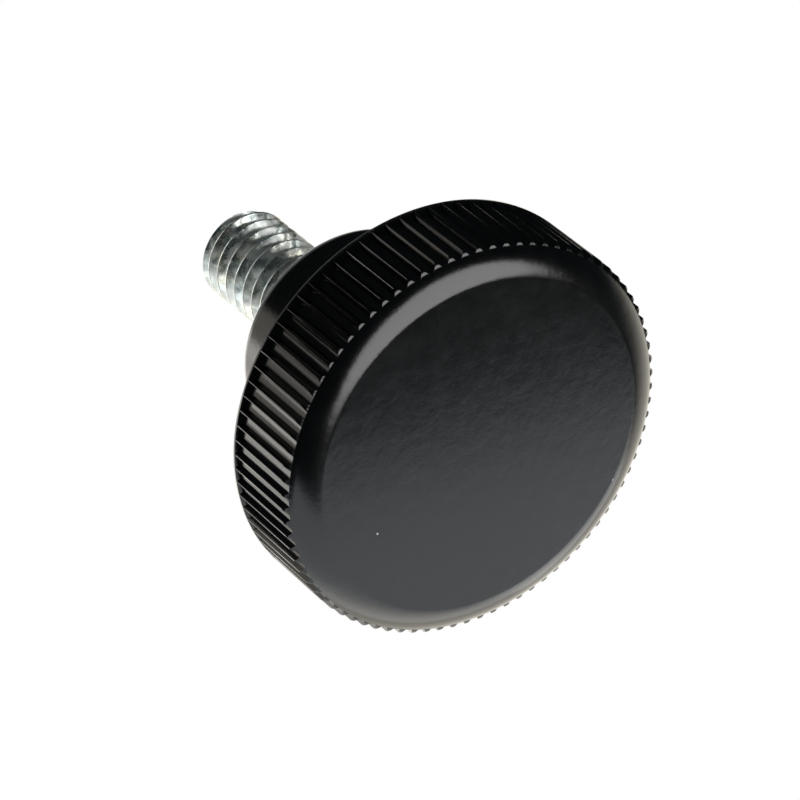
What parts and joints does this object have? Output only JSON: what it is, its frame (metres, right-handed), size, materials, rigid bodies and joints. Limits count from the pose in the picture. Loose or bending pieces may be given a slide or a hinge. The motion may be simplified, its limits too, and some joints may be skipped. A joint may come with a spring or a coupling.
{
  "type": "knurled knob",
  "caption": "Knurled thumb knob: a black moulded head with a flat face, rounded shoulder and fine-toothed rim on a short hub, with a steel threaded stud.",
  "frame": {"origin": "centre of the flat face, on the axis", "axes": "+Z along the axis from the face towards the end of the stud; X and Y are across the head"},
  "size_m": [0.025, 0.025, 0.027],
  "materials": {
    "moulded_plastic": "fine matte moulded surface",
    "plated_steel": "bright zinc plating"
  },
  "bodies": {
    "root": {"knob_body": "moulded_plastic", "threaded_stud": "plated_steel"}
  },
  "joints": []
}
